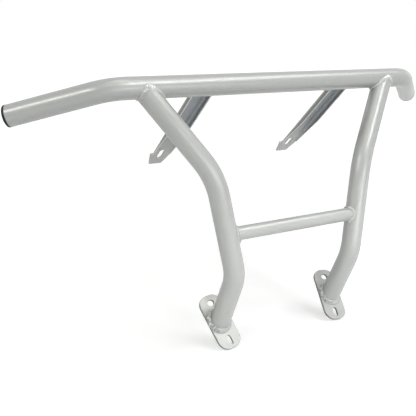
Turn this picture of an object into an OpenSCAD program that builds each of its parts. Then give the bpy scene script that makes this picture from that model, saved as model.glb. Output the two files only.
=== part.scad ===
// Rear bumper of welded tube for a side-by-side utility vehicle.
// The frame: X runs along the top rail, +Y points towards the vehicle, +Z is up.
// The origin is the middle of the top rail, on its axis. Left and right are mirror images.

/* [Top rail] */
// Outer diameter of the rail tube
rail_od = 38.1; // [30:0.1:50]
// Wall of the rail tube
rail_wall = 2.4; // [1.5:0.1:4]
// Distance along X from the middle to each bend's corner point
rail_corner_x = 335.7; // [310:0.1:400]
// Angle of each end bend
rail_bend_angle = 41; // [20:1:60]
// Bend radius at the tube's axis
rail_bend_radius = 76; // [60:1:120]
// How far the plane of the bends dips below the horizontal
rail_dip_angle = 22.7; // [0:0.1:40]
// Length of each swept end, from the bend's corner point to the tube's cut end
rail_end_length = 175; // [120:1:260]

/* [End plugs] */
// Thickness of the plug's rim outside the tube
plug_rim = 5; // [3:0.5:8]
// Rounding of the rim's outer edge
plug_edge_radius = 2; // [0.5:0.1:2.5]
// Length of the plug's stem inside the tube
plug_stem_length = 20; // [14:1:40]
// Wall of the hollow stem
plug_wall = 2; // [1.5:0.1:3]
// Gap between the stem's fins and the tube's bore
plug_clearance = 0.2; // [0.1:0.05:0.3]
// How far the fins stand out of the stem
plug_fin_height = 1.4; // [0.8:0.1:2]
// Thickness of a fin
plug_fin_thick = 1.7; // [1:0.1:2.5]
// Number of fins
plug_fins = 3; // [2:1:4]

/* [Uprights] */
// Outer diameter of the upright tubes
upright_od = 38; // [30:0.1:38]
// Wall of the upright tubes
upright_wall = 2.4; // [1.5:0.1:4]
// Distance along X from the rail's corner point to where an upright's axis meets the rail's
upright_inset = 58.4; // [58:0.1:75]
// Upper leg, from the rail's axis to the upper bend's corner point: how far it runs inward
upper_leg_in = 106.7; // [80:0.1:130]
// Upper leg: how far it runs out, away from the vehicle
upper_leg_out = 58.1; // [40:0.1:80]
// Upper leg: how far it drops
upper_leg_drop = 151; // [130:0.1:190]
// Middle leg, from the upper bend's corner point to the lower one: how far it runs inward
middle_leg_in = 33.1; // [15:0.1:50]
// Middle leg: how far it runs out
middle_leg_out = 14.9; // [5:0.1:30]
// Middle leg: how far it drops
middle_leg_drop = 179.2; // [150:0.1:230]
// Lower leg, from the lower bend's corner point to the foot plate's face: how far it runs inward
lower_leg_in = 1; // [0:0.1:10]
// Lower leg: how far it runs back, towards the vehicle
lower_leg_back = 50.4; // [35:0.1:65]
// Lower leg: how far it drops
lower_leg_drop = 102.3; // [85:0.1:140]
// Bend radius of the upper bend at the tube's axis
upper_bend_radius = 150; // [80:1:180]
// Bend radius of the lower bend at the tube's axis
lower_bend_radius = 76; // [60:1:110]

/* [Cross tube] */
// Outer diameter of the cross tube
cross_od = 25.4; // [20:0.1:32]
// Wall of the cross tube
cross_wall = 2; // [1.2:0.1:3]
// How far the cross tube's axis lies below the uprights' upper corner points
cross_drop = 103.3; // [80:0.1:125]

/* [Foot plates] */
// Length of a foot plate
foot_length = 108; // [100:1:130]
// Width of a foot plate
foot_width = 50; // [46:0.5:60]
// Thickness of a foot plate
foot_thick = 5; // [4:0.5:8]
// Radius of a foot plate's corners
foot_corner_radius = 20; // [10:0.5:23]
// How far the plate's middle lies inward of the upright's axis
foot_inset = 1.2; // [0:0.1:3]
// Tilt of a foot plate from the vertical, its lower end outward
foot_tilt = 40; // [30:1:50]
// Turn of a foot plate in its own plane, its lower end inward
foot_lean = 8; // [0:0.5:12]
// Distance from the middle of each slot to the plate's nearer end
foot_slot_margin = 15.5; // [12:0.5:18]
// Width of the lower slot, which runs along the plate
foot_low_slot_width = 9.5; // [7:0.5:12]
// Length of the lower slot
foot_low_slot_length = 19; // [13:0.5:20]
// Width of the upper slot, which runs across the plate
foot_top_slot_width = 11; // [9:0.5:12]
// Length of the upper slot
foot_top_slot_length = 15; // [12.5:0.5:18]

/* [Braces] */
// Distance along X from the middle to a brace's middle
brace_x = 159; // [140:0.5:175]
// Width of a brace over its flanges
brace_width = 43; // [36:0.5:50]
// Thickness of the folded sheet
brace_sheet = 3; // [2:0.1:4]
// Depth of the flanges, with the web
brace_depth = 13; // [11:0.1:16]
// Outer radius of the folds
brace_fold_radius = 8; // [5:0.5:10]
// Slope of a brace below the horizontal
brace_slope = 42; // [30:1:50]
// Height of the web's upper face over the rail's axis, square to the web
brace_rise = 1.2; // [0:0.1:3]
// Distance from the rail's axis, along the brace, to the tab's end
brace_length = 241; // [190:1:280]
// Length of the flanges' taper
brace_taper_length = 85; // [50:1:110]
// Depth of the flanges, with the web, at the blunt end of their taper
brace_tip_depth = 5.5; // [4:0.5:8]
// Length of the tab, from the end of the flanges to its own end
tab_length = 35; // [30:1:45]
// Width of the tab at its shoulders
tab_width = 47; // [44:0.5:56]
// Width of the tab's flat end
tab_end_width = 27; // [18:0.5:34]
// Width of the tab's slot
tab_slot_width = 10; // [7:0.5:12]
// Length of the tab's slot
tab_slot_length = 27; // [16:0.5:30]
// Distance from the middle of the tab's slot to the tab's end
tab_slot_margin = 33; // [26:0.5:38]

/* [Weld beads] */
// Size of the bead between an upright and the rail
top_bead = 4; // [2:0.1:6]
// Size of the bead between the cross tube and an upright
cross_bead = 3.5; // [2:0.1:5]
// Size of the bead between an upright and its foot plate
foot_bead = 4.5; // [3:0.1:6]
// Size of the bead between a brace and the rail
brace_bead = 3.5; // [2:0.1:5]

/* [Hidden] */
$fn = 96;

rail_r = rail_od / 2;
rail_bore = rail_r - rail_wall;
upright_r = upright_od / 2;
upright_bore = upright_r - upright_wall;
cross_r = cross_od / 2;
cross_bore = cross_r - cross_wall;

// The rail lies in one plane, which rail_dip_angle turns about X.
rail_end_x = rail_corner_x + rail_end_length * cos(rail_bend_angle);
rail_end_y = rail_end_length * sin(rail_bend_angle);
rail_path = [
    [-rail_end_x, rail_end_y, 0],
    [-rail_corner_x, 0, 0],
    [rail_corner_x, 0, 0],
    [rail_end_x, rail_end_y, 0]];

// The right upright's axis, from the rail down to the foot plate.
upright_top = [rail_corner_x - upright_inset, 0, 0];
upper_corner = upright_top + [-upper_leg_in, -upper_leg_out, -upper_leg_drop];
lower_corner = upper_corner + [-middle_leg_in, -middle_leg_out, -middle_leg_drop];
upright_foot = lower_corner + [-lower_leg_in, lower_leg_back, -lower_leg_drop];
upright_path = [upright_top, upper_corner, lower_corner, upright_foot];

// The cross tube meets the uprights on the straight between their bends.
cross_share = cross_drop / middle_leg_drop;
cross_end = upper_corner + cross_share * (lower_corner - upper_corner);

// Places along a brace, from the rail's axis.
brace_flange_end = brace_length - tab_length;
brace_taper_start = brace_flange_end - brace_taper_length;
tab_slot_place = brace_length - tab_slot_margin;

// The tab and the channel are one sheet: between the folds, the tab runs this far into the channel's back.
tab_overlap = 1;
brace_flat = brace_width - 2 * brace_fold_radius;

// Tube bodies run past a face that trims them by this much, and cutters run past what they cut.
overrun = 40;
cut_margin = 1;

// Where a straight leg of a tube joins a bend, the leg runs this far into the bend, and the bend is
// drawn this much thinner, so that its end lies cleanly inside the leg.
seam_overlap = 0.5;
seam_step = 0.01;

steel = [0.74, 0.75, 0.73];
bead_steel = [0.80, 0.81, 0.79];
plug_black = [0.06, 0.06, 0.06];

function unit(v) = v / norm(v);
function turn_angle(before, after) = acos(unit(before) * unit(after));

// Turns +Z to the given direction.
module aim(direction) {
    rotate([0, acos(direction.z / norm(direction)), atan2(direction.y, direction.x)])
        children();
}

// A round bar from one point to another, longer by before and after at its two ends.
module rod(from, to, radius, before = 0, after = 0) {
    direction = unit(to - from);
    translate(from - direction * before)
        aim(direction)
            cylinder(r = radius, h = norm(to - from) + before + after);
}

// A straight tube: a bar with its bore.
module straight_tube(from, to, outer, bore) {
    difference() {
        rod(from, to, outer);
        rod(from, to, bore, cut_margin, cut_margin);
    }
}

// A bent bar whose corner point is at corner, between the directions before and after.
module bend(before, corner, after, bend_radius, radius) {
    travel = unit(before);
    leave = unit(after);
    angle = turn_angle(before, after);
    hub = corner + unit(leave - travel) * bend_radius / cos(angle / 2);
    start = unit(corner - travel * bend_radius * tan(angle / 2) - hub);
    hinge = unit(cross(travel, leave));
    multmatrix([[start.x, travel.x, hinge.x, hub.x],
                [start.y, travel.y, hinge.y, hub.y],
                [start.z, travel.z, hinge.z, hub.z],
                [0, 0, 0, 1]])
        rotate_extrude(angle = angle)
            translate([bend_radius, 0])
                circle(r = radius - seam_step);
}

// A bar along four points, with a bend at the second and the third, and longer by ends at both ends.
module bar_on_path(path, bend_a, bend_b, radius, ends = 0) {
    legs = [path[1] - path[0], path[2] - path[1], path[3] - path[2]];
    start_a = path[1] - unit(legs[0]) * bend_a * tan(turn_angle(legs[0], legs[1]) / 2);
    end_a = path[1] + unit(legs[1]) * bend_a * tan(turn_angle(legs[0], legs[1]) / 2);
    start_b = path[2] - unit(legs[1]) * bend_b * tan(turn_angle(legs[1], legs[2]) / 2);
    end_b = path[2] + unit(legs[2]) * bend_b * tan(turn_angle(legs[1], legs[2]) / 2);
    rod(path[0], start_a, radius, ends, seam_overlap);
    bend(legs[0], path[1], legs[1], bend_a, radius);
    rod(end_a, start_b, radius, seam_overlap, seam_overlap);
    bend(legs[1], path[2], legs[2], bend_b, radius);
    rod(end_b, path[3], radius, seam_overlap, ends);
}

// What is modelled on the right is mirrored for the left.
module on_side(side) {
    if (side == "left") mirror([1, 0, 0]) children();
    else children();
}

// The straight middle of the rail as a rod, which everything that meets the rail is coped to.
module rail_rod(extra = 0) {
    rod([-rail_corner_x, 0, 0], [rail_corner_x, 0, 0], rail_r + extra);
}

// The straight middle of an upright as a rod, for the cross tube's cope and weld.
module upright_middle_rod(extra = 0) {
    rod(upper_corner, lower_corner, upright_r + extra);
}

// The upper leg of an upright as a rod that starts a little beyond the rail's axis.
module upright_top_rod(extra = 0, beyond = 0) {
    rod(upright_top, upper_corner, upright_r + extra, beyond);
}

// The lower leg of an upright as a rod that runs on through the foot plate.
module upright_foot_rod(extra = 0) {
    rod(lower_corner, upright_foot, upright_r + extra, 0, overrun);
}

// The foot plate's own frame, from the middle of its front face: X across it, Y up along it, Z out of it.
module at_foot() {
    translate(upright_foot - [foot_inset, 0, 0])
        rotate([90 - foot_tilt, 0, 0])
            rotate([0, 0, -foot_lean])
                children();
}

// The brace's own frame: Y runs from the rail's axis down the brace, Z out of its upper face.
module at_brace() {
    translate([brace_x, 0, 0])
        rotate([-brace_slope, 0, 0])
            children();
}

module rounded_rectangle(width, length, radius) {
    square([width - 2 * radius, length], center = true);
    square([width, length - 2 * radius], center = true);
    for (x = [-1, 1], y = [-1, 1])
        translate([x * (width / 2 - radius), y * (length / 2 - radius)])
            circle(r = radius);
}

// A slot with round ends that runs along Y.
module slot(width, length) {
    square([width, length - width], center = true);
    for (y = [-1, 1])
        translate([0, y * (length - width) / 2])
            circle(d = width);
}

// The space beyond the rail's axis, which an upright's leg is cut back from before it is coped.
module above_rail() {
    direction = unit(upper_corner - upright_top);
    translate(upright_top)
        aim(-direction)
            cylinder(r = 2 * upright_r, h = 3 * overrun);
}

module top_rail() {
    color(steel)
        rotate([-rail_dip_angle, 0, 0])
            difference() {
                bar_on_path(rail_path, rail_bend_radius, rail_bend_radius, rail_r);
                bar_on_path(rail_path, rail_bend_radius, rail_bend_radius, rail_bore, cut_margin);
            }
}

module upright(side) {
    color(steel)
        on_side(side)
            difference() {
                bar_on_path(upright_path, upper_bend_radius, lower_bend_radius, upright_r, overrun);
                bar_on_path(upright_path, upper_bend_radius, lower_bend_radius, upright_bore, 2 * overrun);
                above_rail();
                rail_rod();
                at_foot()
                    translate([-foot_length, -foot_length, -2 * overrun])
                        cube([2 * foot_length, 2 * foot_length, 2 * overrun]);
            }
}

module cross_tube() {
    color(steel)
        difference() {
            straight_tube([-cross_end.x, cross_end.y, cross_end.z], cross_end, cross_r, cross_bore);
            on_side("left") upright_middle_rod();
            on_side("right") upright_middle_rod();
        }
}

module foot_plate(side) {
    color(steel)
        on_side(side)
            at_foot()
                translate([0, 0, -foot_thick])
                    linear_extrude(height = foot_thick)
                        difference() {
                            rounded_rectangle(foot_width, foot_length, foot_corner_radius);
                            translate([0, foot_slot_margin - foot_length / 2])
                                slot(foot_low_slot_width, foot_low_slot_length);
                            translate([0, foot_length / 2 - foot_slot_margin])
                                rotate(90)
                                    slot(foot_top_slot_width, foot_top_slot_length);
                        }
}

// The channel's outer outline across the brace: flat sides, and round folds at the web.
module channel_outline(width, depth, radius) {
    intersection() {
        translate([-width / 2, -depth])
            square([width, depth]);
        union() {
            translate([-width / 2, -depth - radius])
                square([width, depth]);
            translate([-width / 2 + radius, -depth])
                square([width - 2 * radius, depth]);
            for (x = [-1, 1])
                translate([x * (width / 2 - radius), -radius])
                    circle(r = radius);
        }
    }
}

// The folded section: the outline less its inside, open away from the web.
module channel_section() {
    difference() {
        channel_outline(brace_width, brace_depth, brace_fold_radius);
        translate([0, -brace_sheet])
            channel_outline(brace_width - 2 * brace_sheet, brace_depth, brace_fold_radius - brace_sheet);
    }
}

// Turns a section drawn in X and Y so that it runs along +Y with its Y pointing up.
module along_brace(length) {
    translate([0, length, brace_rise])
        rotate([90, 0, 0])
            linear_extrude(height = length)
                children();
}

// The channel seen from its side: full depth, then the taper to the flanges' blunt ends.
module channel_side_view() {
    top = brace_rise + cut_margin;
    bottom = brace_rise - brace_depth - cut_margin;
    polygon([
        [0, top],
        [0, bottom],
        [brace_taper_start, bottom],
        [brace_taper_start, brace_rise - brace_depth],
        [brace_flange_end, brace_rise - brace_tip_depth],
        [brace_flange_end, top]]);
}

module channel() {
    intersection() {
        along_brace(brace_flange_end) channel_section();
        translate([-brace_width, 0, 0])
            rotate([90, 0, 90])
                linear_extrude(height = 2 * brace_width)
                    channel_side_view();
    }
}

// The flat end of the brace: shoulders wider than the channel, then sides that draw in to a narrow end.
module tab() {
    root = brace_flange_end - tab_overlap;
    translate([0, 0, brace_rise - brace_sheet])
        linear_extrude(height = brace_sheet)
            polygon([
                [-brace_flat / 2, root],
                [-brace_flat / 2, brace_flange_end],
                [-tab_width / 2, brace_flange_end],
                [-tab_end_width / 2, brace_length],
                [tab_end_width / 2, brace_length],
                [tab_width / 2, brace_flange_end],
                [brace_flat / 2, brace_flange_end],
                [brace_flat / 2, root]]);
}

module brace(side) {
    color(steel)
        on_side(side)
            difference() {
                at_brace()
                    difference() {
                        union() {
                            channel();
                            tab();
                        }
                        translate([0, tab_slot_place, brace_rise - brace_sheet - cut_margin])
                            linear_extrude(height = brace_sheet + 2 * cut_margin)
                                slot(tab_slot_width, tab_slot_length);
                    }
                rail_rod();
            }
}

// Half of the plug's section, right of its axis: a rim outside the tube, and a hollow finned stem inside.
module plug_profile() {
    fin_r = rail_bore - plug_clearance;
    stem_r = fin_r - plug_fin_height;
    fin_pitch = plug_stem_length / (plug_fins + 1);
    difference() {
        union() {
            square([rail_r - plug_edge_radius, plug_rim]);
            square([rail_r, plug_rim - plug_edge_radius]);
            translate([rail_r - plug_edge_radius, plug_rim - plug_edge_radius])
                circle(r = plug_edge_radius);
            translate([0, -plug_stem_length])
                square([stem_r, plug_stem_length]);
            for (i = [1:plug_fins])
                translate([0, -i * fin_pitch])
                    square([fin_r, plug_fin_thick]);
        }
        translate([-cut_margin, -plug_stem_length - cut_margin])
            square([stem_r - plug_wall + cut_margin, plug_stem_length + cut_margin]);
    }
}

module end_plug(side) {
    color(plug_black)
        on_side(side)
            rotate([-rail_dip_angle, 0, 0])
                translate([rail_end_x, rail_end_y, 0])
                    aim([cos(rail_bend_angle), sin(rail_bend_angle), 0])
                        rotate_extrude()
                            plug_profile();
}

// The bead in the corner between an upright and the rail: what both tubes cover when each is a bead larger.
module top_weld(side) {
    color(bead_steel)
        on_side(side)
            difference() {
                intersection() {
                    rail_rod(top_bead);
                    upright_top_rod(top_bead, top_bead);
                }
                rail_rod();
                upright_top_rod(0, overrun);
            }
}

module cross_weld(side) {
    inner = [0, cross_end.y, cross_end.z];
    color(bead_steel)
        on_side(side)
            difference() {
                intersection() {
                    rod(inner, cross_end, cross_r + cross_bead);
                    upright_middle_rod(cross_bead);
                }
                rod(inner, cross_end, cross_r, 0, cut_margin);
                upright_middle_rod();
            }
}

module foot_weld(side) {
    color(bead_steel)
        on_side(side)
            difference() {
                intersection() {
                    upright_foot_rod(foot_bead);
                    at_foot()
                        translate([-foot_length, -foot_length, 0])
                            cube([2 * foot_length, 2 * foot_length, foot_bead]);
                }
                upright_foot_rod();
            }
}

// The bead runs round the outside of the channel, where it meets the rail.
module brace_weld(side) {
    color(bead_steel)
        on_side(side)
            difference() {
                intersection() {
                    rail_rod(brace_bead);
                    at_brace()
                        translate([0, 0, brace_bead])
                            along_brace(brace_taper_start)
                                channel_outline(brace_width + 2 * brace_bead, brace_depth + brace_bead,
                                    brace_fold_radius + brace_bead);
                }
                rail_rod();
                at_brace()
                    along_brace(brace_taper_start)
                        translate([0, -cut_margin])
                            channel_outline(brace_width, brace_depth, brace_fold_radius);
                at_brace()
                    along_brace(brace_taper_start)
                        channel_outline(brace_width, brace_depth, brace_fold_radius);
            }
}

top_rail();
upright("left");  // left_upright
upright("right");  // right_upright
cross_tube();
foot_plate("left");  // left_foot_plate
foot_plate("right");  // right_foot_plate
brace("left");  // left_brace
brace("right");  // right_brace
end_plug("left");  // left_end_plug
end_plug("right");  // right_end_plug
top_weld("left");  // left_top_weld
top_weld("right");  // right_top_weld
cross_weld("left");  // left_cross_weld
cross_weld("right");  // right_cross_weld
foot_weld("left");  // left_foot_weld
foot_weld("right");  // right_foot_weld
brace_weld("left");  // left_brace_weld
brace_weld("right");  // right_brace_weld
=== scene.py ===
import math
import random

import bpy
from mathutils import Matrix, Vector


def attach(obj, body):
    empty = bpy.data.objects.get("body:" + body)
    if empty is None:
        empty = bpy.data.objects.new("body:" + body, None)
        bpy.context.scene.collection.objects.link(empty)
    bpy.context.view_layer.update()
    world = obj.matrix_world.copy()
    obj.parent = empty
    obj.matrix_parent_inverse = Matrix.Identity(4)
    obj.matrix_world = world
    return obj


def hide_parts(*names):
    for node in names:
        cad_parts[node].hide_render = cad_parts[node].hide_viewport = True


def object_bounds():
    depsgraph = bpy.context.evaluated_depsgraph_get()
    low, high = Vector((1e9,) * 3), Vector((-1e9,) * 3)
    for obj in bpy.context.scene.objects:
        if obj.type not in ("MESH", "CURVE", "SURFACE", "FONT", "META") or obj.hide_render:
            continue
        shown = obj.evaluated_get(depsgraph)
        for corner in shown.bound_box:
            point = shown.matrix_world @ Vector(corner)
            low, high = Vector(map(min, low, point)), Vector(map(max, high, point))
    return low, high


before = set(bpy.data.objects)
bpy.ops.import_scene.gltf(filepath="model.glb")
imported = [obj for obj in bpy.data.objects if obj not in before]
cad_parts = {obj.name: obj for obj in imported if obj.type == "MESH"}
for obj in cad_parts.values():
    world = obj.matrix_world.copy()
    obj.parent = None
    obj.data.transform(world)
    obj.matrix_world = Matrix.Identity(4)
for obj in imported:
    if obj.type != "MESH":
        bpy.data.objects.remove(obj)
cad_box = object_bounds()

# Sizes, in metres. X runs along the rail, +Y towards the vehicle, +Z up. The origin is the rail's middle.
MM = 0.001
RAIL_RADIUS = 19.05 * MM
UPRIGHT_RADIUS = 19 * MM
CROSS_RADIUS = 12.7 * MM
CROSS_DROP = 254.3 * MM

# The right upright's axis, from the rail down to its foot plate.
UPRIGHT_TOP = Vector((277.3, 0, 0)) * MM
UPPER_CORNER = Vector((170.6, -58.1, -151)) * MM
LOWER_CORNER = Vector((137.5, -73, -330.2)) * MM
FOOT_MIDDLE = Vector((136.5, -22.6, -432.5)) * MM
FOOT_TILT = math.radians(40)
FOOT_THICK = 5 * MM

# The right brace's folded channel.
BRACE_X = 159 * MM
BRACE_WIDTH = 43 * MM
BRACE_DEPTH = 13 * MM
BRACE_FOLD_RADIUS = 8 * MM
BRACE_SHEET = 3 * MM
BRACE_RISE = 1.2 * MM
BRACE_FLANGE_END = 206 * MM
BRACE_SLOPE = math.radians(42)

# Weld beads: how far each one reaches along the two faces that it joins.
TOP_BEAD = 4 * MM
CROSS_BEAD = 3.6 * MM
FOOT_BEAD_ON_PLATE = 4.7 * MM
FOOT_BEAD_ON_TUBE = 5 * MM
FOOT_COLLAR_ON_PLATE = 3 * MM
FOOT_COLLAR_ON_TUBE = 9.5 * MM
BRACE_BEAD = 3.6 * MM
RIPPLE_PITCH = 4.4 * MM
RIPPLE_DEPTH = 0.3
RING_SPACING = 0.45 * MM

# The camera, where the photograph was taken from.
CAMERA_PLACE = Vector((-0.83378, -1.06392, 0.08012))
CAMERA_TURN = math.radians(32.797)
CAMERA_DIP = math.radians(13.309)
CAMERA_LENS = 62.3


# Shader helpers.


def new_material(name):
    """A node material with only its shader and its output."""
    material = bpy.data.materials.new(name)
    material.use_nodes = True
    nodes = material.node_tree.nodes
    nodes.clear()
    shader = nodes.new("ShaderNodeBsdfPrincipled")
    output = nodes.new("ShaderNodeOutputMaterial")
    material.node_tree.links.new(shader.outputs["BSDF"], output.inputs["Surface"])
    return material, shader


def object_place(material):
    """The place on the object, in metres, which the patterns follow."""
    return material.node_tree.nodes.new("ShaderNodeTexCoord").outputs["Object"]


def noise(material, scale, detail=2.0, roughness=0.5):
    node = material.node_tree.nodes.new("ShaderNodeTexNoise")
    node.inputs["Scale"].default_value = scale
    node.inputs["Detail"].default_value = detail
    node.inputs["Roughness"].default_value = roughness
    material.node_tree.links.new(object_place(material), node.inputs["Vector"])
    return node.outputs["Fac"]


def cells(material, scale):
    """A random number from 0 to 1 for each small cell, for metal flakes."""
    nodes, links = material.node_tree.nodes, material.node_tree.links
    node = nodes.new("ShaderNodeTexVoronoi")
    node.inputs["Scale"].default_value = scale
    links.new(object_place(material), node.inputs["Vector"])
    parts = nodes.new("ShaderNodeSeparateColor")
    links.new(node.outputs["Color"], parts.inputs["Color"])
    return parts.outputs["Red"]


def spread(material, value, low, high, start=0.3, end=0.7):
    """Maps a pattern's range from start to end onto low to high."""
    node = material.node_tree.nodes.new("ShaderNodeMapRange")
    node.inputs["From Min"].default_value = start
    node.inputs["From Max"].default_value = end
    node.inputs["To Min"].default_value = low
    node.inputs["To Max"].default_value = high
    material.node_tree.links.new(value, node.inputs["Value"])
    return node.outputs["Result"]


def blend_colours(material, share, first, second):
    node = material.node_tree.nodes.new("ShaderNodeMix")
    node.data_type = "RGBA"
    for socket, colour in (("A", first), ("B", second)):
        target = [i for i in node.inputs if i.name == socket and i.type == "RGBA"][0]
        if isinstance(colour, tuple):
            target.default_value = (*colour, 1)
        else:
            material.node_tree.links.new(colour, target)
    material.node_tree.links.new(share, node.inputs["Factor"])
    return [o for o in node.outputs if o.type == "RGBA"][0]


def bump(material, height, strength, depth, normal):
    node = material.node_tree.nodes.new("ShaderNodeBump")
    node.inputs["Strength"].default_value = strength
    node.inputs["Distance"].default_value = depth
    material.node_tree.links.new(height, node.inputs["Height"])
    material.node_tree.links.new(normal, node.inputs["Normal"])
    return node.outputs["Normal"]


def along(material, direction):
    """How far a place lies along a direction, in metres."""
    node = material.node_tree.nodes.new("ShaderNodeVectorMath")
    node.operation = "DOT_PRODUCT"
    node.inputs[1].default_value = direction
    material.node_tree.links.new(object_place(material), node.inputs[0])
    return node.outputs["Value"]


def calculate(material, operation, *values):
    node = material.node_tree.nodes.new("ShaderNodeMath")
    node.operation = operation
    for socket, value in zip(node.inputs, values):
        if isinstance(value, (int, float)):
            socket.default_value = value
        else:
            material.node_tree.links.new(value, socket)
    return node.outputs[0]


def soft_edges(material, radius):
    """The coat rounds every sharp edge a little."""
    node = material.node_tree.nodes.new("ShaderNodeBevel")
    node.samples = 6
    node.inputs["Radius"].default_value = radius
    return node.outputs["Normal"]


# Materials.


def powder_coat(name, light, dark, roughness, edge_radius, orange_peel, painted_light_areas=()):
    """Silver powder coat: metal flakes in a satin film that dried with a slight orange peel."""
    material, shader = new_material(name)
    links = material.node_tree.links
    mottle = spread(material, noise(material, 240, 3), 0, 0.5)
    drift = calculate(material, "ADD", spread(material, noise(material, 9, 3), 0, 0.5), mottle)
    flakes = spread(material, cells(material, 2600), 0, 0.5, 0, 1)
    tone = blend_colours(material, drift, dark, light)
    glitter = tuple(min(1, 1.16 * c) for c in light)
    colour = blend_colours(material, flakes, tone, glitter)
    for area, painted_colour in painted_light_areas:
        colour = blend_colours(material, area(material), colour, painted_colour)
    links.new(colour, shader.inputs["Base Color"])
    links.new(spread(material, noise(material, 70, 3), roughness - 0.03, roughness + 0.04),
              shader.inputs["Roughness"])
    rounded = soft_edges(material, edge_radius)
    peel = bump(material, noise(material, 420, 1.5), orange_peel, 0.25 * MM, rounded)
    grain = bump(material, cells(material, 2600), 0.05, 0.06 * MM, peel)
    links.new(grain, shader.inputs["Normal"])
    shader.inputs["Metallic"].default_value = 0.22
    return material


SILVER = (0.48, 0.486, 0.472), (0.435, 0.443, 0.43)


def silver_coat():
    return powder_coat("silver_powder_coat", *SILVER, 0.315, 0.7 * MM, 0.14)


# Painted shade: the inside of a brace's channel is coloured darker and bluer, and the flanges' outer faces darker.
# Painted highlight: the flanges' edges are coloured lighter, and so are the tops of the uprights' beads.
CHANNEL_SHADE_COLOUR = (0.33, 0.348, 0.364)
FLANGE_SHADE_COLOUR = (0.27, 0.274, 0.252)
PAINTED_HIGHLIGHT_COLOUR = (0.72, 0.73, 0.71)


def from_brace_middle(material):
    """How far a place lies from the middle of the nearer brace, across it."""
    sideways = calculate(material, "ABSOLUTE", along(material, (1, 0, 0)))
    return calculate(material, "ABSOLUTE", calculate(material, "SUBTRACT", sideways, BRACE_X))


def under_brace_top(material, start, end):
    """0 above the start height and 1 below the end height, square to the brace's back."""
    up = (0, math.sin(BRACE_SLOPE), math.cos(BRACE_SLOPE))
    return spread(material, along(material, up), 1, 0, BRACE_RISE - end, BRACE_RISE - start)


def before_brace_end(material, length):
    """1 on the brace, fading to 0 over this length before the flanges' end."""
    down_the_brace = (0, math.cos(BRACE_SLOPE), -math.sin(BRACE_SLOPE))
    return spread(material, along(material, down_the_brace), 1, 0, BRACE_FLANGE_END - length, BRACE_FLANGE_END)


# Painted shade: 1 inside a brace's channel, under its web and between its flanges, fading to 0 over the last 60
# mm.
def channel_shade(material):
    between = spread(material, from_brace_middle(material), 1, 0,
                     BRACE_WIDTH / 2 - 0.98 * BRACE_SHEET, BRACE_WIDTH / 2 - 0.9 * BRACE_SHEET)
    under = under_brace_top(material, 0.6 * BRACE_SHEET, 0.9 * BRACE_SHEET)
    return calculate(material, "MULTIPLY", calculate(material, "MULTIPLY", between, under),
                     before_brace_end(material, 60 * MM))


# Painted shade: 1 on the flanges' outer faces, fading to 0 over the last 10 mm of the flanges.
def flange_side_shade(material):
    beside = spread(material, from_brace_middle(material), 0, 1,
                    BRACE_WIDTH / 2 - 0.1 * BRACE_SHEET, BRACE_WIDTH / 2 - 0.02 * BRACE_SHEET)
    return calculate(material, "MULTIPLY", beside, before_brace_end(material, 10 * MM))


# Painted highlight: 1 on the flanges' free edges, more than 5 mm below the brace's top.
def flange_edge_highlight(material):
    outer = spread(material, from_brace_middle(material), 1, 0,
                   BRACE_WIDTH / 2 - 0.15 * BRACE_SHEET, BRACE_WIDTH / 2 - 0.05 * BRACE_SHEET)
    inner = spread(material, from_brace_middle(material), 0, 1,
                   BRACE_WIDTH / 2 - 0.95 * BRACE_SHEET, BRACE_WIDTH / 2 - 0.85 * BRACE_SHEET)
    low = under_brace_top(material, 5 * MM, 6 * MM)
    return calculate(material, "MULTIPLY", calculate(material, "MULTIPLY", outer, inner), low)


def brace_coat():
    painted_light_areas = (channel_shade, CHANNEL_SHADE_COLOUR), (flange_side_shade, FLANGE_SHADE_COLOUR), (flange_edge_highlight, PAINTED_HIGHLIGHT_COLOUR)
    return powder_coat("brace_powder_coat", *SILVER, 0.315, 0.7 * MM, 0.14, painted_light_areas)


# Painted shade, darkening the foot plates' cut edges and slot walls.
CUT_EDGE_SHADE_COLOUR = (0.2, 0.203, 0.19)


def cut_edge_shade(material):
    """1 on the foot plates' edges and in their slots, where painted shade darkens them, and 0 on their two faces.
    """
    outward = (0, -math.cos(FOOT_TILT), math.sin(FOOT_TILT))
    front = FOOT_MIDDLE.dot(Vector(outward))
    behind_front = spread(material, along(material, outward), 1, 0, front - 0.8 * MM, front - 0.4 * MM)
    before_back = spread(material, along(material, outward), 0, 1,
                         front - FOOT_THICK + 0.4 * MM, front - FOOT_THICK + 0.8 * MM)
    return calculate(material, "MULTIPLY", behind_front, before_back)


def foot_coat():
    return powder_coat("foot_powder_coat", *SILVER, 0.315, 0.7 * MM, 0.14, ((cut_edge_shade, CUT_EDGE_SHADE_COLOUR),))


def bead_top_highlight(material):
    """Up to 0.6 near the top of the uprights' beads: a painted highlight, lighter where light from above falls."""
    return spread(material, along(material, (0, 0, 1)), 0, 0.6, -0.42 * RAIL_RADIUS, -0.12 * RAIL_RADIUS)


# The weld coat gets a painted highlight near the beads' tops.
def weld_coat():
    return powder_coat("weld_powder_coat", (0.52, 0.526, 0.51), (0.44, 0.447, 0.432), 0.2, 0.4 * MM, 0.16,
                       ((bead_top_highlight, PAINTED_HIGHLIGHT_COLOUR),))


def black_plastic():
    """Moulded black plastic with a fine spark grain."""
    material, shader = new_material("black_plastic")
    links = material.node_tree.links
    drift = spread(material, noise(material, 60, 3), 0, 1)
    links.new(blend_colours(material, drift, (0.012, 0.012, 0.013), (0.022, 0.022, 0.023)),
              shader.inputs["Base Color"])
    links.new(spread(material, noise(material, 300, 2), 0.42, 0.55), shader.inputs["Roughness"])
    shader.inputs["Specular IOR Level"].default_value = 0.2
    rounded = soft_edges(material, 0.4 * MM)
    links.new(bump(material, noise(material, 2200, 2), 0.35, 0.08 * MM, rounded), shader.inputs["Normal"])
    return material


def set_material(piece, material):
    piece.data.materials.clear()
    piece.data.materials.append(material)


# Weld beads. A face is a function: it gives a point's nearest place on it, and the way out of it there.


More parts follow.
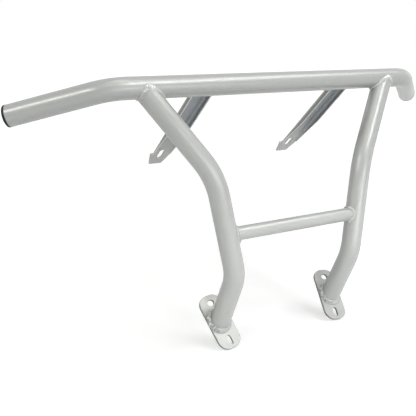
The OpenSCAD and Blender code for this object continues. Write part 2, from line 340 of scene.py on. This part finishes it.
def tube_face(start, end, radius):
    axis = (end - start).normalized()

    def nearest(point):
        offset = point - start
        offset = offset - axis * offset.dot(axis)
        outward = offset.normalized()
        return point - offset + outward * radius, outward

    return nearest


def flat_face(origin, normal):
    def nearest(point):
        return point - normal * (point - origin).dot(normal), normal

    return nearest


def square_axes(axis):
    """Two directions square to the axis and to each other."""
    helper = Vector((0, 0, 1)) if abs(axis.z) < 0.9 else Vector((1, 0, 0))
    first = axis.cross(helper).normalized()
    return first, axis.cross(first)


def points_round_tube(start, end, radius, distance, count=900):
    """Where the wall of a tube meets another face: distance(foot, axis) runs down the wall line at foot."""
    axis = (end - start).normalized()
    first, second = square_axes(axis)
    points = []
    for i in range(count):
        angle = math.tau * i / count
        foot = start + (first * math.cos(angle) + second * math.sin(angle)) * radius
        points.append(foot + axis * distance(foot, axis))
    return points


def to_tube(start, end, radius, far):
    """How far along a line a tube lies: far picks where the line leaves it, else where it enters it."""
    axis = (end - start).normalized()

    def distance(foot, direction):
        offset = foot - start
        offset = offset - axis * offset.dot(axis)
        slant = direction - axis * direction.dot(axis)
        a, b, c = slant.dot(slant), offset.dot(slant), offset.dot(offset) - radius ** 2
        root = math.sqrt(max(0, b * b - a * c))
        return (-b + root) / a if far else (-b - root) / a

    return distance


def to_plane(origin, normal):
    def distance(foot, direction):
        return (origin - foot).dot(normal) / direction.dot(normal)

    return distance


def even_points(points, closed, spacing):
    """The same line with its points a fixed distance apart."""
    line = points + points[:1] if closed else points
    travelled = [0]
    for a, b in zip(line, line[1:]):
        travelled.append(travelled[-1] + (b - a).length)
    steps = max(8, round(travelled[-1] / spacing))
    result, at = [], 0
    for i in range(steps if closed else steps + 1):
        target = travelled[-1] * i / steps
        while at < len(line) - 2 and travelled[at + 1] < target:
            at += 1
        share = (target - travelled[at]) / max(1e-12, travelled[at + 1] - travelled[at])
        result.append(line[at].lerp(line[at + 1], share))
    return result, travelled[-1]


def lumps(draw, length, waves=(2, 3, 5, 8, 13)):
    """A smooth random swell along a bead, from about -1 to 1, that meets itself after its length."""
    parts = [(k, draw.uniform(0, math.tau), draw.uniform(0.4, 1)) for k in waves]
    total = sum(size for _, _, size in parts)
    return lambda s: sum(size * math.sin(math.tau * k * s / length + start) for k, start, size in parts) / total


def corner_ways(point, faces):
    """Out of the one face and out of the other where they meet, and from there along each, square to the line."""
    (_, out_a), (_, out_b) = faces[0](point), faces[1](point)
    along_a = (out_b - out_a * out_a.dot(out_b)).normalized()
    along_b = (out_a - out_b * out_a.dot(out_b)).normalized()
    return out_a, out_b, along_a, along_b


def turned_gently(ways, neighbours):
    """The same ways, each the mean of its neighbours on both sides, for a line that turns sharply."""
    result = []
    for i in range(len(ways)):
        near = [ways[(i + k) % len(ways)] for k in range(-neighbours, neighbours + 1)]
        result.append([sum(vectors, Vector((0, 0, 0))).normalized() for vectors in zip(*near)])
    return result


def bead_ring(point, faces, ways, reach_a, reach_b, crown, ripple, across=12):
    """One section of a bead: from its toe on one face, over its crown, to its toe on the other, and the corner."""
    out_a, out_b, along_a, along_b = ways
    toe_a = faces[0](point + along_a * reach_a)[0]
    toe_b = faces[1](point + along_b * reach_b)[0]
    middle = (toe_a + toe_b) / 2
    top = middle + (out_a + out_b).normalized() * crown * (reach_a + reach_b) / 2
    guide = top * 2 - middle
    ring = []
    for i in range(across + 1):
        t = i / across
        place = toe_a * (1 - t) ** 2 + guide * 2 * t * (1 - t) + toe_b * t ** 2
        lift = (place - point) * ripple(t)
        ring.append(place + lift * math.sin(math.pi * t))
    return ring + [point - (out_a + out_b).normalized() * 0.2 * MM]


def bead_mesh(name, points, faces, shape, closed=True, seed=1, turn_length=0):
    """A weld bead of overlapping crescents in the corner between two faces, along the line where they meet.

    shape(point) gives the bead's reach along both faces there, and how rough it is, from 0 to 1.
    """
    draw = random.Random(seed)
    points, length = even_points(points, closed, RING_SPACING)
    ways = [corner_ways(point, faces) for point in points]
    if turn_length:
        ways = turned_gently(ways, round(turn_length / 2 / RING_SPACING))
    swell = lumps(draw, length)
    drift = lumps(draw, length, (3, 7, 11))
    starts = [draw.uniform(0.15, 0.85) * length for _ in range(3)]
    ripples = round(length / RIPPLE_PITCH)
    fade_length = 4 * MM
    vertices, polygons = [], []
    for i, point in enumerate(points):
        s = length * i / (len(points) if closed else len(points) - 1)
        phase = ripples * s / length + 0.35 * drift(s)
        fade = 1 if closed else min(1, math.sqrt(max(0.02, min(s, length - s) / fade_length)))
        blob = sum(math.exp(-((s - start) / (2.2 * MM)) ** 2) for start in starts)
        reach_a, reach_b, rough = shape(point)

        def ripple(t, phase=phase, depth=RIPPLE_DEPTH * rough * (1 + 0.5 * swell(s))):
            crescent = phase - 0.5 * math.sin(math.pi * t)
            return depth * (abs(math.sin(math.pi * crescent)) - 0.6)

        size = fade * (1 + rough * (0.12 * swell(s) + 0.05 * math.sin(math.tau * phase) + 0.15 * blob))
        crown = 0.05 + rough * (0.18 + 0.06 * drift(s) + 0.14 * blob)
        vertices += bead_ring(point, faces, ways[i], size * reach_a, size * reach_b, crown, ripple)
    ring_size = len(vertices) // len(points)
    for i in range(len(points) if closed else len(points) - 1):
        here, there = i * ring_size, (i + 1) % len(points) * ring_size
        for k in range(ring_size):
            m = (k + 1) % ring_size
            polygons.append((here + k, here + m, there + m, there + k))
    if not closed:
        polygons.append(tuple(range(ring_size))[::-1])
        polygons.append(tuple((len(points) - 1) * ring_size + k for k in range(ring_size)))
    mesh = bpy.data.meshes.new(name)
    mesh.from_pydata([tuple(v) for v in vertices], [], polygons)
    mesh.validate()
    for polygon in mesh.polygons:
        polygon.use_smooth = True
    piece = bpy.data.objects.new(name, mesh)
    bpy.context.scene.collection.objects.link(piece)
    return piece


def on_side(vector, side):
    return Vector((vector.x * side, vector.y, vector.z))


def add_bead(name, node, points, faces, shape, material, closed=True, seed=1, turn_length=0):
    piece = bead_mesh(name, points, faces, shape, closed, seed, turn_length)
    face_outward(piece)
    set_material(piece, material)
    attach(piece, "root")
    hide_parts(node)
    return piece


def face_outward(piece):
    """Turns the mesh's faces so that they all look out of it."""
    import bmesh
    work = bmesh.new()
    work.from_mesh(piece.data)
    bmesh.ops.recalc_face_normals(work, faces=work.faces)
    work.to_mesh(piece.data)
    work.free()


def even_shape(size, rough=1):
    return lambda point: (size, size, rough)


def top_bead(word, side, material):
    start, end = on_side(UPRIGHT_TOP, side), on_side(UPPER_CORNER, side)
    rail = (Vector((-1, 0, 0)), Vector((1, 0, 0)), RAIL_RADIUS)
    points = points_round_tube(start, end, UPRIGHT_RADIUS, to_tube(*rail, far=True))
    faces = (tube_face(*rail), tube_face(start, end, UPRIGHT_RADIUS))
    heap = max(points, key=lambda point: point.z)

    def shape(point):
        """A smooth fillet that gets lumpy and wide near its top, where the welder started and stopped."""
        near = max(0, 1 - (point - heap).length / (16 * MM))
        return TOP_BEAD * (1 - 0.2 * near), TOP_BEAD * (1 + near), 0.25 + 1.3 * near

    add_bead(word + "_top_bead", word + "_top_weld", points, faces, shape, material, seed=11 + side,
             turn_length=18 * MM)


def cross_bead(word, side, material):
    start, end = on_side(UPPER_CORNER, side), on_side(LOWER_CORNER, side)
    share = (-CROSS_DROP - start.z) / (end.z - start.z)
    meeting = start.lerp(end, share)
    inner = Vector((0, meeting.y, meeting.z))
    upright = (start, end, UPRIGHT_RADIUS)
    points = points_round_tube(inner, meeting, CROSS_RADIUS, to_tube(*upright, far=False))
    faces = (tube_face(*upright), tube_face(inner, meeting, CROSS_RADIUS))
    add_bead(word + "_cross_bead", word + "_cross_weld", points, faces, even_shape(CROSS_BEAD, 1.25), material,
             seed=21 + side)


def foot_bead(word, side, material):
    start, end = on_side(LOWER_CORNER, side), on_side(FOOT_MIDDLE, side)
    outward = Vector((0, -math.cos(FOOT_TILT), math.sin(FOOT_TILT)))
    down = Vector((0, -math.sin(FOOT_TILT), -math.cos(FOOT_TILT)))

    def shape(point):
        """A smooth collar below the tube, which leans away from the plate there, and rough on its left."""
        way = (point - end).normalized()
        below = max(0, way.dot(down)) ** 2
        left = max(0, -way.x)
        return (FOOT_BEAD_ON_PLATE * (1 + 0.4 * left) + (FOOT_COLLAR_ON_PLATE - FOOT_BEAD_ON_PLATE) * below,
                FOOT_BEAD_ON_TUBE + (FOOT_COLLAR_ON_TUBE - FOOT_BEAD_ON_TUBE) * below,
                0.15 + 1.9 * left)

    points = points_round_tube(start, end, UPRIGHT_RADIUS, to_plane(end, outward))
    faces = (flat_face(end, outward), tube_face(start, end, UPRIGHT_RADIUS))
    add_bead(word + "_foot_bead", word + "_foot_weld", points, faces, shape, material, seed=31 + side)


def channel_outline_points(count=60):
    """The channel's outside across the brace: up one flange, over both folds and down the other flange."""
    half, top, fold = BRACE_WIDTH / 2, BRACE_RISE, BRACE_FOLD_RADIUS
    points = []
    for i in range(count):
        points.append((-half, top - BRACE_DEPTH + (BRACE_DEPTH - fold) * i / count))
    for turn, centre in ((math.pi, -half + fold), (math.pi / 2, half - fold)):
        for i in range(count):
            angle = turn - math.pi / 2 * i / count
            points.append((centre + fold * math.cos(angle), top - fold + fold * math.sin(angle)))
        if centre < 0:
            for i in range(count):
                points.append((-half + fold + (BRACE_WIDTH - 2 * fold) * i / count, top))
    for i in range(count + 1):
        points.append((half, top - fold - (BRACE_DEPTH - fold) * i / count))
    return points


def brace_bead(word, side, material):
    along = Vector((0, math.cos(BRACE_SLOPE), -math.sin(BRACE_SLOPE)))
    up = Vector((0, math.sin(BRACE_SLOPE), math.cos(BRACE_SLOPE)))
    middle = Vector((side * BRACE_X, 0, 0))
    rail = (Vector((-1, 0, 0)), Vector((1, 0, 0)), RAIL_RADIUS)
    reach_rail = to_tube(*rail, far=True)
    points = []
    for across, height in channel_outline_points():
        foot = middle + Vector((across, 0, 0)) + up * height
        points.append(foot + along * reach_rail(foot, along))
    half, fold = BRACE_WIDTH / 2, BRACE_FOLD_RADIUS

    def channel_face(point):
        """The outside of the folded channel: flat web and flanges with round folds between them."""
        offset = point - middle
        run, x, z = offset.dot(along), offset.x, offset.dot(up)
        core_x = max(-half + fold, min(half - fold, x))
        core_z = min(BRACE_RISE - fold, z)
        out_x, out_z = x - core_x, z - core_z
        size = math.hypot(out_x, out_z) or 1
        outward = Vector((1, 0, 0)) * (out_x / size) + up * (out_z / size)
        place = middle + along * run + Vector((core_x, 0, 0)) + up * core_z + outward * fold
        return place, outward

    faces = (tube_face(*rail), channel_face)
    add_bead(word + "_brace_bead", word + "_brace_weld", points, faces, even_shape(BRACE_BEAD), material,
             closed=False, seed=41 + side)


# The stage, the lights and the camera.


def white_paper(name, colour, added_near, added_far, near=0.5, far=3.2):
    """White paper that still shows shadows. Light is added where the camera or a gloss sees it, the more the
    farther it lies from the lamps."""
    material, shader = new_material(name)
    nodes, links = material.node_tree.nodes, material.node_tree.links
    distance = nodes.new("ShaderNodeVectorMath")
    distance.operation = "LENGTH"
    links.new(object_place(material), distance.inputs[0])
    added = spread(material, distance.outputs["Value"], added_near, added_far, near, far)
    shader.inputs["Base Color"].default_value = (*colour, 1)
    shader.inputs["Roughness"].default_value = 0.9
    shader.inputs["Specular IOR Level"].default_value = 0.1
    shader.inputs["Emission Color"].default_value = (1, 1, 1, 1)
    seen = seen_directly(nodes, links)
    strength = nodes.new("ShaderNodeMath")
    strength.operation = "MULTIPLY"
    links.new(added, strength.inputs[1])
    links.new(seen, strength.inputs[0])
    links.new(strength.outputs[0], shader.inputs["Emission Strength"])
    return material


def seen_directly(nodes, links):
    """1 for what the camera sees, straight, in a gloss or through glass, else 0."""
    path = nodes.new("ShaderNodeLightPath")
    result = path.outputs["Is Camera Ray"]
    for name in ("Is Glossy Ray", "Is Transmission Ray"):
        either = nodes.new("ShaderNodeMath")
        either.operation = "MAXIMUM"
        links.new(result, either.inputs[0])
        links.new(path.outputs[name], either.inputs[1])
        result = either.outputs[0]
    return result


def add_floor(size=60, gap=0.3 * MM):
    low, _ = cad_box
    height = low[2] - gap
    mesh = bpy.data.meshes.new("floor")
    half = size / 2
    mesh.from_pydata([(-half, -half, height), (half, -half, height), (half, half, height), (-half, half, height)],
                     [], [(0, 1, 2, 3)])
    floor = bpy.data.objects.new("floor", mesh)
    bpy.context.scene.collection.objects.link(floor)
    set_material(floor, white_paper("floor_paper", (0.8, 0.8, 0.8), 0.5, 0.985))


def set_world(ambient=0.14):
    """Soft light from all round, and white where the camera or a gloss sees the background."""
    world = bpy.data.worlds.new("studio")
    bpy.context.scene.world = world
    world.use_nodes = True
    nodes, links = world.node_tree.nodes, world.node_tree.links
    nodes.clear()
    output = nodes.new("ShaderNodeOutputWorld")
    background = nodes.new("ShaderNodeBackground")
    background.inputs["Color"].default_value = (1, 1, 1, 1)
    strength = nodes.new("ShaderNodeMapRange")
    strength.inputs["To Min"].default_value = ambient
    strength.inputs["To Max"].default_value = 1
    links.new(seen_directly(nodes, links), strength.inputs["Value"])
    links.new(strength.outputs["Result"], background.inputs["Strength"])
    links.new(background.outputs["Background"], output.inputs["Surface"])


def add_lamp(name, place, target, width, height, power, colour):
    light = bpy.data.lights.new(name, "AREA")
    light.shape = "RECTANGLE"
    light.size = width
    light.size_y = height
    light.energy = power
    light.color = colour
    lamp = bpy.data.objects.new(name, light)
    bpy.context.scene.collection.objects.link(lamp)
    lamp.location = place
    lamp.rotation_euler = (Vector(target) - Vector(place)).to_track_quat("-Z", "Y").to_euler()
    return lamp


NEUTRAL, COOL, WARM = (1, 1, 1), (0.92, 0.98, 1), (1, 1, 0.955)


def add_panel(name, turn, height_angle, width, height, power, colour=NEUTRAL, distance=2.6,
              middle=Vector((0, 0, -0.2)), beam=180):
    """A soft panel seen from the object's middle at this angle right of its front, and this high."""
    turn, height_angle = math.radians(turn), math.radians(height_angle)
    level = math.cos(height_angle)
    place = middle + distance * Vector((math.sin(turn) * level, -math.cos(turn) * level, math.sin(height_angle)))
    lamp = add_lamp(name, place, middle, width, height, power, colour)
    lamp.data.spread = math.radians(beam)
    return lamp


def add_lights():
    """Soft panels: the key above the front right, its wide skirt below it, and weaker ones round the rest."""
    add_panel("key_right", 58, 51, 1.3, 0.75, 12.3)
    add_panel("key_front", 22, 47, 1.2, 0.6, 14, WARM)
    add_panel("skirt_front", 15, 20, 1.8, 0.9, 1.5, COOL)
    add_panel("skirt_right", 60, 20, 1.8, 0.9, 1.2, COOL)
    add_panel("right_side", 100, 15, 0.9, 0.8, 1.5, COOL)
    add_panel("low_front", 8, 7, 2.0, 0.7, 10.5, COOL)
    add_panel("beside_camera", -26, 7, 1.2, 0.6, 0.8)
    feet = add_panel("feet", -6, 6, 1.6, 0.3, 0.8, NEUTRAL, 1.8, Vector((0, 0, -0.36)), 17)
    feet.visible_glossy = False
    add_panel("overhead", 30, 80, 1.2, 1.2, 9)
    add_panel("high_left", -30, 55, 1.2, 0.7, 2.6, WARM)
    add_panel("left_strip", -80, 35, 1.5, 0.18, 13.5, WARM)
    add_panel("left_side", -98, 12, 0.45, 0.8, 2.2, WARM)


def add_camera():
    camera_data = bpy.data.cameras.new("camera")
    camera_data.lens = CAMERA_LENS
    camera = bpy.data.objects.new("camera", camera_data)
    bpy.context.scene.collection.objects.link(camera)
    camera.location = CAMERA_PLACE
    camera.rotation_euler = (math.pi / 2 - CAMERA_DIP, 0, -CAMERA_TURN)
    bpy.context.scene.camera = camera


def dress():
    silver, brace, foot, weld, black = silver_coat(), brace_coat(), foot_coat(), weld_coat(), black_plastic()
    for name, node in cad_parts.items():
        if name.endswith("_plug"):
            set_material(node, black)
        elif name.endswith("_brace"):
            set_material(node, brace)
        elif name.endswith("_foot_plate"):
            set_material(node, foot)
        elif not name.endswith("_weld"):
            set_material(node, silver)
    for word, side in (("left", -1), ("right", 1)):
        top_bead(word, side, weld)
        cross_bead(word, side, weld)
        foot_bead(word, side, weld)
        brace_bead(word, side, weld)


dress()
add_floor()
set_world()
add_lights()
add_camera()
bpy.context.scene.view_settings.view_transform = "Standard"
